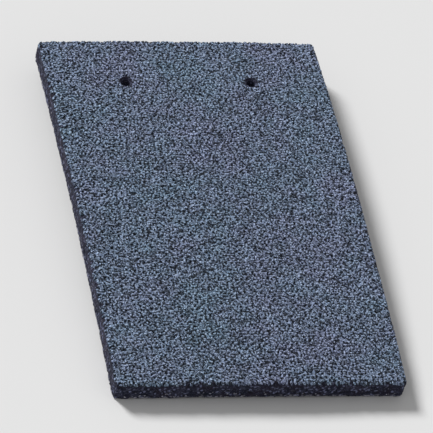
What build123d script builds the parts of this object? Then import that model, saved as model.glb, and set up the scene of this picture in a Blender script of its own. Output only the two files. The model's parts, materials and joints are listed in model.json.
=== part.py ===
from build123d import *

import os
from math import asin, atan2, cos, degrees, hypot, radians, sin, tan

# A concrete plain tile: the small flat tile of a double-lap roof, pressed, cut and punched as
# one piece. Millimetres. X runs across the tile, Y from the tail (-) to the head (+), Z up.
# It is drawn face up on a level floor, as a loose tile lies: on the feet of its two nibs and on
# the lower arris of its tail. The origin is the middle of its footprint, on the floor.

# Slab
LENGTH = 265.0  # tail to head, along the chord of the face
WIDTH = 165.0
THICKNESS = 12.0
LONG_CAMBER = 5.0  # rise of the face at mid-length over its two ends
CROSS_CAMBER = 1.2  # rise of the centre line over the two sides
CORNER_RADIUS = 3.0  # plan radius of the four corners
FACE_ARRIS_RADIUS = 1.8  # rounding round the weathered face
BED_ARRIS_RADIUS = 0.8  # rounding round the underside

# Nibs, which hook the tile over its batten
NIB_DEPTH = 11.0  # foot to underside, at the hanging face
NIB_WIDTH = 26.0  # across the tile, at the foot
NIB_LENGTH = 11.0  # along the tile, at the foot
NIB_SPACING = 92.0  # centre to centre
NIB_SETBACK = 5.0  # from the end of the head to the foot
NIB_DRAFT = 6.0  # degrees on every side, so that the tile leaves its mould
NIB_CORNER_RADIUS = 2.5
NIB_FOOT_BEVEL = 1.0
NIB_ROOT_RADIUS = 2.0

# Nail holes, square to the face and over the middle of the batten
BATTEN_WIDTH = 38.0
NAIL_HOLE_RADIUS = 2.75
NAIL_HOLE_SPACING = 74.0
NAIL_HOLE_FLARE = 1.0  # bevel of the mouth, where the punch draws the face down

NIB_OVERRUN = 4.0  # how far a nib's blank runs on into the slab
PUNCH_OVERRUN = 4.0  # how far a punch runs out past each side of the slab


def arc_radius(chord, rise):
    """Radius of the arc that has this chord and this rise."""
    return (chord**2 / 4 + rise**2) / (2 * rise)


# The slab is an arched section turned about a far axis below it
FACE_ARC = arc_radius(LENGTH, LONG_CAMBER)
BED_ARC = FACE_ARC - THICKNESS
HALF_TURN = degrees(asin(LENGTH / 2 / FACE_ARC))


def broad_faces(tile):
    """The underside and the weathered face, in that order."""
    return tile.faces().sort_by(SortBy.AREA)[-2:].sort_by(Axis.Z)


def cambered_slab():
    """The slab with its corners and arrises rounded, about its own turning axis, Axis.X."""
    bed = [(-WIDTH / 2, BED_ARC - CROSS_CAMBER), (0, BED_ARC), (WIDTH / 2, BED_ARC - CROSS_CAMBER)]
    face = [(x, radius + THICKNESS) for x, radius in reversed(bed)]
    with BuildPart() as blank:
        with BuildSketch(Plane.XZ):
            with BuildLine():
                bed_line = ThreePointArc(*bed)
                face_line = ThreePointArc(*face)
                Line(bed_line @ 1, face_line @ 0)
                Line(face_line @ 1, bed_line @ 0)
            make_face()
        revolve(axis=Axis.X, revolution_arc=2 * HALF_TURN)
    slab = blank.part.rotate(Axis.X, -HALF_TURN)
    slab = fillet(slab.edges().filter_by(GeomType.LINE), CORNER_RADIUS)
    slab = fillet(broad_faces(slab)[1].edges(), FACE_ARRIS_RADIUS)
    return fillet(broad_faces(slab)[0].edges(), BED_ARRIS_RADIUS)


def lying_tilt():
    """Degrees by which the nibs raise the head of a tile that lies on the floor."""
    side_arc = BED_ARC - CROSS_CAMBER
    to_tail = radians(HALF_TURN)
    to_nib = to_tail - (NIB_SETBACK + NIB_LENGTH) / BED_ARC
    along = BED_ARC * sin(to_nib) + side_arc * sin(to_tail)
    rise = BED_ARC * cos(to_nib) - side_arc * cos(to_tail)
    return degrees(asin(NIB_DEPTH / hypot(along, rise)) - atan2(rise, along))


def nib_blanks(foot_y):
    """The two nibs, widening from their feet on the floor up into the slab."""
    with BuildPart() as nibs:
        with BuildSketch():
            with Locations((0, foot_y)):
                with GridLocations(NIB_SPACING, 0, 2, 1):
                    RectangleRounded(NIB_WIDTH, NIB_LENGTH, NIB_CORNER_RADIUS)
        extrude(amount=NIB_DEPTH + NIB_OVERRUN, taper=-NIB_DRAFT)
    return nibs.part


def nail_punches(turning_centre, hole_y):
    """The two punches, along a radius of the long camber."""
    lean = asin((hole_y - turning_centre.Y) / BED_ARC)
    stroke = Vector(0, sin(lean), cos(lean))
    start = turning_centre + stroke * (BED_ARC - PUNCH_OVERRUN)
    with BuildPart() as punches:
        with BuildSketch(Plane(start, (1, 0, 0), stroke)):
            with GridLocations(NAIL_HOLE_SPACING, 0, 2, 1):
                Circle(NAIL_HOLE_RADIUS)
        extrude(amount=THICKNESS + 2 * PUNCH_OVERRUN)
    return punches.part


# Lay the slab down: slide it round its turning axis until the head stands at the height of the
# nibs, then bring it to the floor with the middle of its footprint at the origin
slab = cambered_slab().rotate(Axis.X, lying_tilt())
footprint = slab.bounding_box()
turning_centre = Vector(0, -footprint.center().Y, -footprint.min.Z)
slab = slab.moved(Location(turning_centre))

# Add the nibs, blend them into the underside and bevel their feet
head_end = slab.bounding_box().max.Y
foot_y = head_end - NIB_SETBACK - NIB_LENGTH / 2
tile = slab + nib_blanks(foot_y)
tile = fillet(broad_faces(tile)[0].inner_wires().edges(), NIB_ROOT_RADIUS)
tile = chamfer(tile.faces().filter_by(Plane.XY).edges(), NIB_FOOT_BEVEL)

# Punch the nail holes half a batten below the hanging faces, and flare their mouths
hanging_face_y = foot_y - NIB_LENGTH / 2 - NIB_DEPTH * tan(radians(NIB_DRAFT))
hole_y = hanging_face_y - BATTEN_WIDTH / 2
tile = tile - nail_punches(turning_centre, hole_y)
tile = chamfer(broad_faces(tile)[1].inner_wires().edges(), NAIL_HOLE_FLARE)

os.makedirs("parts", exist_ok=True)
export_step(tile, "parts/plain_tile.step")
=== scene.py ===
"""A concrete plain tile, with a sand-faced top, bare cut edges and a mould-formed underside.

Metres. X runs across the tile, Y from its tail to its head, Z up from the floor it lies on.
The slab is first laid out flat: u across it, v along it, w up from its weathered face. Its
double camber then rolls that flat slab about a far axis below it.
"""

import json
import logging
import math
from dataclasses import dataclass
from enum import IntEnum
from typing import Iterator, NamedTuple, Sequence

import bpy
import numpy as np
from mathutils import Matrix, Vector, geometry, noise

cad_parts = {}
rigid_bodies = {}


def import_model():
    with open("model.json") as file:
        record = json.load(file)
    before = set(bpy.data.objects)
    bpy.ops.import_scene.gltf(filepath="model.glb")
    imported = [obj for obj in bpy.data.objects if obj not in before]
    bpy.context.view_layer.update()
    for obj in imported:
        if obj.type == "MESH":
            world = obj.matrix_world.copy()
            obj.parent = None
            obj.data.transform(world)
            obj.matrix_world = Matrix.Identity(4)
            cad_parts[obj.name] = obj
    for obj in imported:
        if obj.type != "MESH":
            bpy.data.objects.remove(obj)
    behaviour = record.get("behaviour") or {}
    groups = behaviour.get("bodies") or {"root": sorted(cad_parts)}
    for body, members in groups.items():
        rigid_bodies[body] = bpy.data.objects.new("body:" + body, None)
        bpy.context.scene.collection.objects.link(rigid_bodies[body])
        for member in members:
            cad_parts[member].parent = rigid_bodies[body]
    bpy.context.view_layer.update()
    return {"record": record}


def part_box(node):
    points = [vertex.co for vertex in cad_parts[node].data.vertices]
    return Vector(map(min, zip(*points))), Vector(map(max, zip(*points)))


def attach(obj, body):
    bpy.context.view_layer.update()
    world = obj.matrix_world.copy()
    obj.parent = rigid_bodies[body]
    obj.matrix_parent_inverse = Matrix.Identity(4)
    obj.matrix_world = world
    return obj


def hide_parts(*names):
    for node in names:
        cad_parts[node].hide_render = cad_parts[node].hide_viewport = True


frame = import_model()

MM = 0.001
NODE = "plain_tile"

log = logging.getLogger("plain_tile")

Array = np.ndarray
Random = np.random.Generator
Socket = bpy.types.NodeSocket
Material = bpy.types.Material
Colour = tuple[float, float, float, float]


def arc_radius(chord: float, rise: float) -> float:
    """Radius of the arc that has this chord and this rise."""
    return (chord**2 / 4 + rise**2) / (2 * rise)


@dataclass(frozen=True)
class Ripple:
    """Smooth noise, with a seed that gives each use its own."""

    height: float
    feature: float
    seed: float
    least: float = 0.0

    def _unit(self, points: Array) -> Array:
        """The noise before it is scaled to its height, from about -1 to 1.

        Args:
            points: Places, each of two or three coordinates.

        Returns:
            One value for each.
        """
        scaled = np.zeros((len(points), 3))
        scaled[:, : points.shape[1]] = points / self.feature
        scaled += self.seed
        return np.array([noise.noise(Vector(spot)) for spot in scaled])

    def over(self, points: Array) -> Array:
        """Rise and fall at each point, up to the ripple's height."""
        return self.height * self._unit(points)

    def crests(self, points: Array) -> Array:
        """Rise of its crests alone, where the unit noise is above the least value."""
        return self.height * np.maximum(self._unit(points) - self.least, 0)


def pairs(loop: Sequence) -> Iterator[tuple]:
    """Each item of a closed loop with the next."""
    return zip(loop, [*loop[1:], loop[0]])


def run_along(loop: Array) -> Array:
    """Distance round a closed loop to each of its points, and to the first again."""
    steps = np.linalg.norm(np.roll(loop, -1, axis=0) - loop, axis=1)
    return np.concatenate(([0], np.cumsum(steps)))


def triangulated(points: Array, edges: list) -> Array:
    """Covers flat points with triangles.

    Args:
        points: Flat points.
        edges: Pairs of points that are to be edges.

    Returns:
        Triangles, as places in the list of points.
    """
    scaled = [Vector(point) for point in points / MM]
    _, _, faces, origin, _, _ = geometry.delaunay_2d_cdt(scaled, edges, [], 0, 1e-5)
    source = np.array([numbers[0] for numbers in origin])
    return source[np.array(faces)]


def placed(name: str, data: bpy.types.ID) -> bpy.types.Object:
    """Puts a new object in the scene.

    Args:
        name: Its name.
        data: Its mesh, lamp or camera.

    Returns:
        The object, linked to the scene.
    """
    thing = bpy.data.objects.new(name, data)
    bpy.context.scene.collection.objects.link(thing)
    return thing


class Finish(IntEnum):
    """The tile's finishes, as the places of their materials on the mesh."""

    SAND_FACE = 0
    CUT_EDGE = 1
    MOULD_FACE = 2


class Corner(IntEnum):
    """What is at the corner where neighbouring sand grains meet."""

    GROOVE = 0
    PIT = 1
    RIM = 2


@dataclass(frozen=True)
class SlabSize:
    """The slab's own sizes."""

    width: float = 165 * MM
    length: float = 265 * MM
    thickness: float = 12 * MM
    long_camber: float = 5 * MM
    cross_camber: float = 1.2 * MM
    corner_radius: float = 3 * MM
    bed_arris: float = 0.8 * MM

    @property
    def face_arc(self) -> float:
        """Radius of the face along its centre line."""
        return arc_radius(self.length, self.long_camber)

    @property
    def cross_arc(self) -> float:
        """Radius of the face across the tile."""
        return arc_radius(self.width, self.cross_camber)

    @property
    def half_turn(self) -> float:
        """Angle that each half of the tile takes about the turning axis."""
        return math.asin(self.length / 2 / self.face_arc)

    @property
    def flat_length(self) -> float:
        """Length of the face once it is rolled out flat."""
        return 2 * self.half_turn * self.face_arc


@dataclass(frozen=True)
class Camber:
    """Rolls the flat slab about its turning axis, and unrolls it again."""

    slab: SlabSize
    centre_y: float
    centre_z: float
    lean: float
    sideways: Ripple = Ripple(0.28 * MM, 55 * MM, 1.9)
    lengthways: Ripple = Ripple(0.34 * MM, 48 * MM, 41.3)
    upright: Ripple = Ripple(0.14 * MM, 60 * MM, 77.1)

    @classmethod
    def from_frame(cls, slab: SlabSize, mount: dict) -> "Camber":
        """Finds the turning axis from the solid's box and the line of a nail hole.

        Args:
            slab: The slab's sizes.
            mount: A nail hole's mount, whose axis points away from the turning axis.

        Returns:
            The camber that the solid has.
        """
        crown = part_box(NODE)[1][2]
        centre_z = crown - slab.face_arc
        _, y, z = mount["pos_m"]
        _, along, up = mount["axis"]
        centre_y = y - (z - centre_z) * along / up
        lean = math.asin(centre_y / (slab.face_arc * math.cos(slab.half_turn)))
        return cls(slab, centre_y, centre_z, lean)

    def drop(self, u: Array) -> Array:
        """How far the cross camber falls at a distance u from the centre line."""
        return self.slab.cross_arc - np.sqrt(self.slab.cross_arc**2 - u**2)

    def _waver(self, flat: Array) -> Array:
        """The slight waver that pressing and cutting leave in every line of the slab."""
        ripples = (self.sideways, self.lengthways, self.upright)
        return np.column_stack([ripple.over(flat[:, :2]) for ripple in ripples])

    def bend(self, flat: Array) -> Array:
        """Rolls flat places (u, v, w) onto the camber, with its waver.

        Args:
            flat: Places on the flat slab.

        Returns:
            The same places on the lying tile.
        """
        u, v, w = (flat + self._waver(flat)).T
        radius = self.slab.face_arc - self.drop(u) + w
        turn = v / self.slab.face_arc - self.lean
        y = self.centre_y + radius * np.sin(turn)
        z = self.centre_z + radius * np.cos(turn)
        return np.column_stack((u, y, z))

    def flatten(self, world: Array) -> Array:
        """Rolls places out to flat ones (u, v, w), and leaves the waver as it is.

        Args:
            world: Places on the lying tile.

        Returns:
            The same places on the flat slab.
        """
        x, y, z = world.T
        turn = np.arctan2(y - self.centre_y, z - self.centre_z)
        radius = np.hypot(y - self.centre_y, z - self.centre_z)
        v = (turn + self.lean) * self.slab.face_arc
        return np.column_stack((x, v, radius - self.slab.face_arc + self.drop(x)))

    def bed_height(self, plan: Array) -> Array:
        """Height of the underside above the floor.

        Args:
            plan: Places (x, y).

        Returns:
            A height for each.
        """
        x, y = plan.T
        radius = self.slab.face_arc - self.slab.thickness - self.drop(x)
        return self.centre_z + np.sqrt(radius**2 - (y - self.centre_y) ** 2)


@dataclass(frozen=True)
class Hole:
    """A round hole in the flat slab."""

    u: float
    v: float
    radius: float

    def inset(self, points: Array) -> Array:
        """Distance of each flat point outside the hole."""
        return np.hypot(points[:, 0] - self.u, points[:, 1] - self.v) - self.radius

    def normal(self, points: Array) -> Array:
        """Direction from each flat point towards the middle of the hole."""
        out = np.array((self.u, self.v)) - points
        return out / np.maximum(np.linalg.norm(out, axis=1, keepdims=True), 1e-9)


@dataclass(frozen=True)
class Outline:
    """The flat slab's outline, a rectangle with rounded corners."""

    half_width: float
    half_length: float
    corner: float

    @property
    def low_corner(self) -> tuple[float, float]:
        """The corner from which the texture map is measured."""
        return (-self.half_width, -self.half_length)

    def _past_core(self, points: Array) -> Array:
        """Each point's reach past the rectangle that the corner arcs are centred on."""
        core = np.array((self.half_width, self.half_length)) - self.corner
        return np.abs(points) - core

    def inset(self, points: Array) -> Array:
        """Distance of each flat point inside the outline.

        Args:
            points: Flat points.

        Returns:
            A distance for each, negative outside.
        """
        past = self._past_core(points)
        outside = np.linalg.norm(np.maximum(past, 0), axis=1)
        return self.corner - outside - np.minimum(past.max(axis=1), 0)

    def normal(self, points: Array) -> Array:
        """Direction from each flat point towards the outline.

        Args:
            points: Flat points.

        Returns:
            A direction for each, of length 1.
        """
        past = self._past_core(points)
        round_corner = (past > 0).all(axis=1)
        sideways = past[:, 0] > past[:, 1]
        out = np.where(round_corner[:, None], past, np.column_stack((sideways, ~sideways)))
        out = out * np.where(points < 0, -1.0, 1.0)
        return out / np.linalg.norm(out, axis=1, keepdims=True)


@dataclass(frozen=True)
class Region:
    """A stretch of the flat slab: inside its outline and outside its holes."""

    outline: Outline
    holes: tuple[Hole, ...]

    def _edges(self) -> tuple:
        """The outline and the holes."""
        return (self.outline, *self.holes)

    def inset(self, points: Array) -> Array:
        """Distance of each flat point from the nearest edge, positive inside."""
        return np.min([edge.inset(points) for edge in self._edges()], axis=0)

    def mirrored(self, points: Array, band: float) -> Array:
        """Mirrors the points that lie within a band of an edge over it.

        Args:
            points: Flat points.
            band: The band's width.

        Returns:
            The mirrored points alone.
        """
        found = []
        for edge in self._edges():
            inset = edge.inset(points)
            near = (inset > 0) & (inset < band)
            found.append(points[near] + 2 * inset[near, None] * edge.normal(points[near]))
        return np.vstack(found)

    def held(self, points: Array) -> Array:
        """Brings points that stray over an edge back onto it.

        Args:
            points: Flat points.

        Returns:
            All of them, with the strays moved.
        """
        points = points.copy()
        for edge in self._edges():
            stray = np.minimum(edge.inset(points), 0)
            points += stray[:, None] * edge.normal(points)
        return points


@dataclass(frozen=True)
class MapPatch:
    """A patch of the texture map: a stretch of surface laid out at one scale."""

    left: float
    bottom: float
    scale: float

    def place(self, spots: Array, corner: tuple[float, float] = (0, 0)) -> Array:
        """Map places of spots on a surface, measured from the patch's corner."""
        return (self.left, self.bottom) + (spots - np.array(corner)) * self.scale


class Loop(NamedTuple):
    """A closed loop of the skin's vertices: their numbers and their flat places."""

    ids: Array
    flat: Array


def joined_loops(outer: Array, inner: Array) -> Array:
    """Triangles of the strip between two closed loops with the same number of vertices.

    Args:
        outer: Vertex numbers of the first loop.
        inner: Vertex numbers of the second, each beside its fellow.

    Returns:
        Triangles that face right of the first loop's run, when the second lies below it.
    """
    after = np.roll(outer, -1)
    below = np.roll(inner, -1)
    first = np.column_stack((outer, inner, below))
    second = np.column_stack((outer, below, after))
    return np.stack((first, second), axis=1).reshape(-1, 3)


def strip_layout(run: Array, top: float, bottom: float, patch: MapPatch) -> Array:
    """Map places for the corners that joined_loops gives.

    Args:
        run: Distance along the loop of each vertex, and of the first again at the end.
        top: The first loop's distance down the strip.
        bottom: The second loop's distance down the strip.
        patch: Where the strip goes.

    Returns:
        Three map places for each triangle.
    """
    here, there = run[:-1], run[1:]
    high, low = np.full(len(here), top), np.full(len(here), bottom)
    corners = (here, high, here, low, there, low, here, high, there, low, there, high)
    return patch.place(np.column_stack(corners).reshape(-1, 3, 2))


class Skin:
    """The tile's one closed mesh, gathered patch by patch."""

    def __init__(self, wall_depth: float) -> None:
        """Starts with no vertices and no faces.

        Args:
            wall_depth: How deep each wall is laid out on the texture map.
        """
        self.wall_depth = wall_depth
        names = ("places", "shade", "fall", "faces", "finish", "layout", "grain")
        self._lists: dict[str, list[Array]] = {name: [] for name in names}
        self._count = 0

    def _note(self, rows: int, **values: object) -> None:
        """Notes one value, or an array of them, for each of so many rows."""
        for name, value in values.items():
            self._lists[name].append(np.broadcast_to(value, rows).astype(float))

    def add_vertices(self, world: Array, shade: object = 1.0, fall: object = 0.0) -> Array:
        """Adds vertices.

        Args:
            world: Their places on the lying tile.
            shade: How open each lies, from 0 deep in a pit to 1 on a crest, which the finishes
                paint as shade and highlight.
            fall: How far each lies down an edge, from 0 at its top to 1 at its foot, or -1
                on the sand face's own rim.

        Returns:
            Their numbers in the mesh.
        """
        ids = np.arange(self._count, self._count + len(world))
        self._count += len(world)
        self._lists["places"].append(world)
        self._note(len(world), shade=shade, fall=fall)
        return ids

    def add_faces(self, faces: Array, finish: object, layout: Array, grain: object = 0.5) -> None:
        """Adds triangles.

        Args:
            faces: Vertex numbers, three to a row.
            finish: The finish of all of them, or of each.
            layout: Where each corner goes on the texture map.
            grain: The random number that each triangle's grain has.
        """
        self._lists["faces"].append(faces)
        self._lists["layout"].append(layout)
        self._note(len(faces), finish=finish, grain=grain)

    def build(self, name: str, materials: Sequence[Material]) -> bpy.types.Object:
        """Makes the mesh object.

        Args:
            name: The piece's name.
            materials: One for each finish, in order.

        Returns:
            The new object, linked to the scene.
        """
        whole = {label: np.concatenate(parts) for label, parts in self._lists.items()}
        whole["places"][:, 2] = np.maximum(whole["places"][:, 2], 0)
        mesh = bpy.data.meshes.new(name)
        mesh.from_pydata(whole["places"].tolist(), [], whole["faces"].tolist())
        mesh.polygons.foreach_set("material_index", whole["finish"].astype(np.int32))
        mesh.polygons.foreach_set("use_smooth", whole["finish"] == Finish.MOULD_FACE)
        for label, domain in (("shade", "POINT"), ("fall", "POINT"), ("grain", "FACE")):
            attribute = mesh.attributes.new(label, "FLOAT", domain)
            attribute.data.foreach_set("value", whole[label])
        layer = mesh.uv_layers.new(name="OFBake")
        layer.uv.foreach_set("vector", whole["layout"].reshape(-1))
        for material in materials:
            mesh.materials.append(material)
        mesh.update()
        return placed(name, mesh)

    def add_wall(
        self,
        top: Array,
        rings: list[tuple],
        finish: Finish,
        run: Array,
        patches: Sequence[MapPatch],
    ) -> Array:
        """Adds a wall in rows, which are as deep as each other on the texture map.

        Args:
            top: Vertex numbers of the loop that the wall hangs from.
            rings: The places, shade and fall of each loop below it, in turn.
            finish: The finish of all of it.
            run: Distance round the loop to each vertex, and to the first again.
            patches: Where equal lengths of the wall go on the texture map.

        Returns:
            Vertex numbers of the lowest loop.
        """
        cuts = np.linspace(0, len(top), len(patches) + 1).astype(int)
        for row, ring in enumerate(rings):
            lower = self.add_vertices(*ring)
            high, low = (self.wall_depth * i / len(rings) for i in (row, row + 1))
            layout = [
                strip_layout(run[start : end + 1] - run[start], high, low, patch)
                for start, end, patch in zip(cuts, cuts[1:], patches)
            ]
            self.add_faces(joined_loops(top, lower), finish, np.vstack(layout))
            top = lower
        return top


def inside_loop(points: Array, loop: Array) -> Array:
    """Finds the points that lie inside a closed loop.

    Args:
        points: Flat points.
        loop: The flat points of the loop.

    Returns:
        True for each point inside.
    """
    inside = np.zeros(len(points), bool)
    x, y = points.T
    for (ax, ay), (bx, by) in pairs(loop):
        spans = (ay > y) != (by > y)
        if spans.any():
            cut = ax + (y - ay) * (bx - ax) / (by - ay + (by == ay))
            inside ^= spans & (x < cut)
    return inside


def filled_sheet(loops: Sequence[Array], inner: Array) -> Array:
    """Triangles that fill an outer loop, less the loops within it.

    Args:
        loops: Flat points of the outer loop, and then of each hole.
        inner: Flat points inside, which the triangles also use.

    Returns:
        Triangles that face up, as places in the stack of all loops and the inner points.
    """
    points = np.vstack((*loops, inner))
    edges = []
    start = 0
    for loop in loops:
        edges += pairs(range(start, start + len(loop)))
        start += len(loop)
    faces = triangulated(points, edges)
    middle = points[faces].mean(axis=1)
    kept = inside_loop(middle, loops[0])
    for hole in loops[1:]:
        kept &= ~inside_loop(middle, hole)
    faces = faces[kept]
    a, b, c = (points[faces[:, i]] for i in range(3))
    turned = np.cross(b - a, c - a) < 0
    faces[turned] = faces[turned][:, ::-1]
    return faces


@dataclass(frozen=True)
class GrainCells:
    """The cells that the sand grains fill, as a cracked pavement over the flat face."""

    seeds: Array
    corners: Array
    cells: list[list[int]]

    # In parts of the distance between grains
    STRAY = 0.36
    MARGIN = 0.3
    RIM_BAND = 2.2
    RIM_GAP = 0.35
    TOUCHING = 0.1

    @classmethod
    def grown(cls, region: Region, spacing: float, rim_spacing: float, rng: Random) -> "GrainCells":
        """Scatters seeds over a region and grows each one's cell up to its neighbours.

        Args:
            region: Where the grains lie.
            spacing: Distance between neighbouring grains.
            rim_spacing: The same for the two or three rows of grains along the edges.
            rng: Random numbers.

        Returns:
            The seeds, the corners where cells meet, and each cell's loop of corners.
        """
        broad = cls.scattered(region, spacing, rng)
        fine = cls.scattered(region, rim_spacing, rng)
        band = cls.RIM_BAND * rim_spacing
        broad = broad[region.inset(broad) > band + cls.RIM_GAP * spacing]
        seeds = np.vstack((broad, fine[region.inset(fine) < band]))
        ghosts = region.mirrored(seeds, band)
        points = np.vstack((seeds, ghosts))
        faces = triangulated(points, [])
        corners = cls._centres(points, faces)
        names = cls._merged(corners, faces, cls.TOUCHING * rim_spacing)
        rows, places = np.nonzero(faces < len(seeds))
        owner = faces[rows, places]
        reach = corners[rows] - points[owner]
        order = np.lexsort((np.arctan2(reach[:, 1], reach[:, 0]), owner))
        owner, rows = owner[order], rows[order]
        starts = np.searchsorted(owner, np.arange(len(seeds) + 1))
        cells = []
        for low, high in zip(starts[:-1], starts[1:]):
            loop = names[rows[low:high]]
            cells.append(loop[loop != np.roll(loop, 1)].tolist())
        return cls(seeds, region.held(corners), cells)

    @classmethod
    def scattered(cls, region: Region, spacing: float, rng: Random) -> Array:
        """Scatters seeds on a loose triangular lattice, a little inside the region.

        Args:
            region: Where they are to lie.
            spacing: Distance between neighbours.
            rng: Random numbers.

        Returns:
            Flat points.
        """
        rise = spacing * math.sqrt(3) / 2
        rows = int(region.outline.half_length / rise) + 2
        columns = int(region.outline.half_width / spacing) + 2
        v, u = np.mgrid[-rows : rows + 1, -columns : columns + 1].astype(float)
        u = (u + 0.5 * (v % 2)) * spacing
        points = np.column_stack((u.ravel(), v.ravel() * rise))
        points += rng.uniform(-cls.STRAY, cls.STRAY, points.shape) * spacing
        return points[region.inset(points) > cls.MARGIN * spacing]

    @staticmethod
    def _centres(points: Array, faces: Array) -> Array:
        """Finds the corners where cells meet, which are the middles of triangles of seeds.

        Args:
            points: Flat points.
            faces: Triangles, as places in the list of points.

        Returns:
            For each triangle, the point that is equally far from its three corners.
        """
        a, b, c = (points[faces[:, i]] for i in range(3))
        b, c = b - a, c - a
        twice = 2 * np.cross(b, c)
        bb, cc = (b**2).sum(1), (c**2).sum(1)
        across = (c[:, 1] * bb - b[:, 1] * cc) / twice
        along = (b[:, 0] * cc - c[:, 0] * bb) / twice
        return a + np.column_stack((across, along))

    @staticmethod
    def _merged(corners: Array, faces: Array, near: float) -> Array:
        """Gives corners that all but touch one name, and moves them together.

        Args:
            corners: One corner for each triangle of seeds. They are moved in place.
            faces: The triangles of seeds.
            near: The gap below which two corners touch.

        Returns:
            The name of each corner, which is the place of one of them in the list.
        """
        sides = np.sort(faces[:, [0, 1, 1, 2, 2, 0]].reshape(-1, 2), axis=1)
        owner = np.repeat(np.arange(len(faces)), 3)
        order = np.lexsort((sides[:, 1], sides[:, 0]))
        sides, owner = sides[order], owner[order]
        same = (sides[1:] == sides[:-1]).all(axis=1)
        beside = np.column_stack((owner[:-1][same], owner[1:][same]))
        gap = np.linalg.norm(corners[beside[:, 0]] - corners[beside[:, 1]], axis=1)
        names = np.arange(len(corners))

        def root(name: int) -> int:
            """The first of the corners that this one has been merged with.

            Args:
                name: A corner.

            Returns:
                Its name, or the corner's own where it hasn't been merged.
            """
            while names[name] != name:
                name = names[name]
            return name

        for one, other in beside[gap < near]:
            names[root(one)] = root(other)
        names = np.array([root(name) for name in names])
        middle = np.zeros_like(corners)
        np.add.at(middle, names, corners)
        count = np.bincount(names, minlength=len(names))
        corners[:] = (middle / np.maximum(count, 1)[:, None])[names]
        return names

    def edge_loops(self) -> list[list[int]]:
        """Follows the sides that only one cell has.

        Returns:
            The loop along the outline, and then those round the holes.
        """
        sides = dict.fromkeys(side for cell in self.cells for side in pairs(cell))
        after = {a: b for a, b in sides if (b, a) not in sides}
        loops = []
        while after:
            start, here = after.popitem()
            loop = [start]
            while here != start:
                loop.append(here)
                here = after.pop(here)
            loops.append(loop)
        return sorted(loops, key=len, reverse=True)

    def with_halved_rims(self, region: Region) -> tuple["GrainCells", list[list[int]]]:
        """Halves each rim edge, so that the edges below the face have finer columns.

        Args:
            region: Where the grains lie.

        Returns:
            The same cells with the new corners, and without those that no cell has. Also
            the loops of corners round the region.
        """
        loops = self.edge_loops()
        sides = [side for loop in loops for side in pairs(loop)]
        halfway = self.corners[np.array(sides)].mean(axis=1)
        between = {side: len(self.corners) + i for i, side in enumerate(sides)}

        def halved(loop: list[int]) -> list[int]:
            """A loop with the new corners in their places."""
            names = [name for side in pairs(loop) for name in (side[0], between.get(side))]
            return [name for name in names if name is not None]

        cells, loops = ([halved(loop) for loop in rows] for rows in (self.cells, loops))
        used = sorted({name for cell in cells for name in cell})
        number = {name: i for i, name in enumerate(used)}
        cells, loops = ([[number[name] for name in row] for row in rows] for rows in (cells, loops))
        corners = region.held(np.vstack((self.corners, halfway)))[used]
        return GrainCells(self.seeds, corners, cells), loops


def zipped(outer: list[int], inner: list[int], outer_turn: list, inner_turn: list) -> list:
    """Triangles between two loops round one middle, which need not match in number.

    Args:
        outer: Vertex numbers of the outer loop, counter-clockwise.
        inner: Vertex numbers of the inner loop, counter-clockwise.
        outer_turn: The angle of each outer vertex about the middle, rising.
        inner_turn: The angle of each inner vertex about the middle, rising.

    Returns:
        Triangles that face up.
    """
    faces = []
    i = j = 0
    while i < len(outer) or j < len(inner):
        next_outer = outer_turn[i + 1] if i + 1 < len(outer) else outer_turn[0] + math.tau
        next_inner = inner_turn[j + 1] if j + 1 < len(inner) else inner_turn[0] + math.tau
        here, beside = outer[i % len(outer)], inner[j % len(inner)]
        if j >= len(inner) or (i < len(outer) and next_outer < next_inner):
            i += 1
            faces.append((here, outer[i % len(outer)], beside))
        else:
            j += 1
            faces.append((here, inner[j % len(inner)], beside))
    return faces


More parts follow.
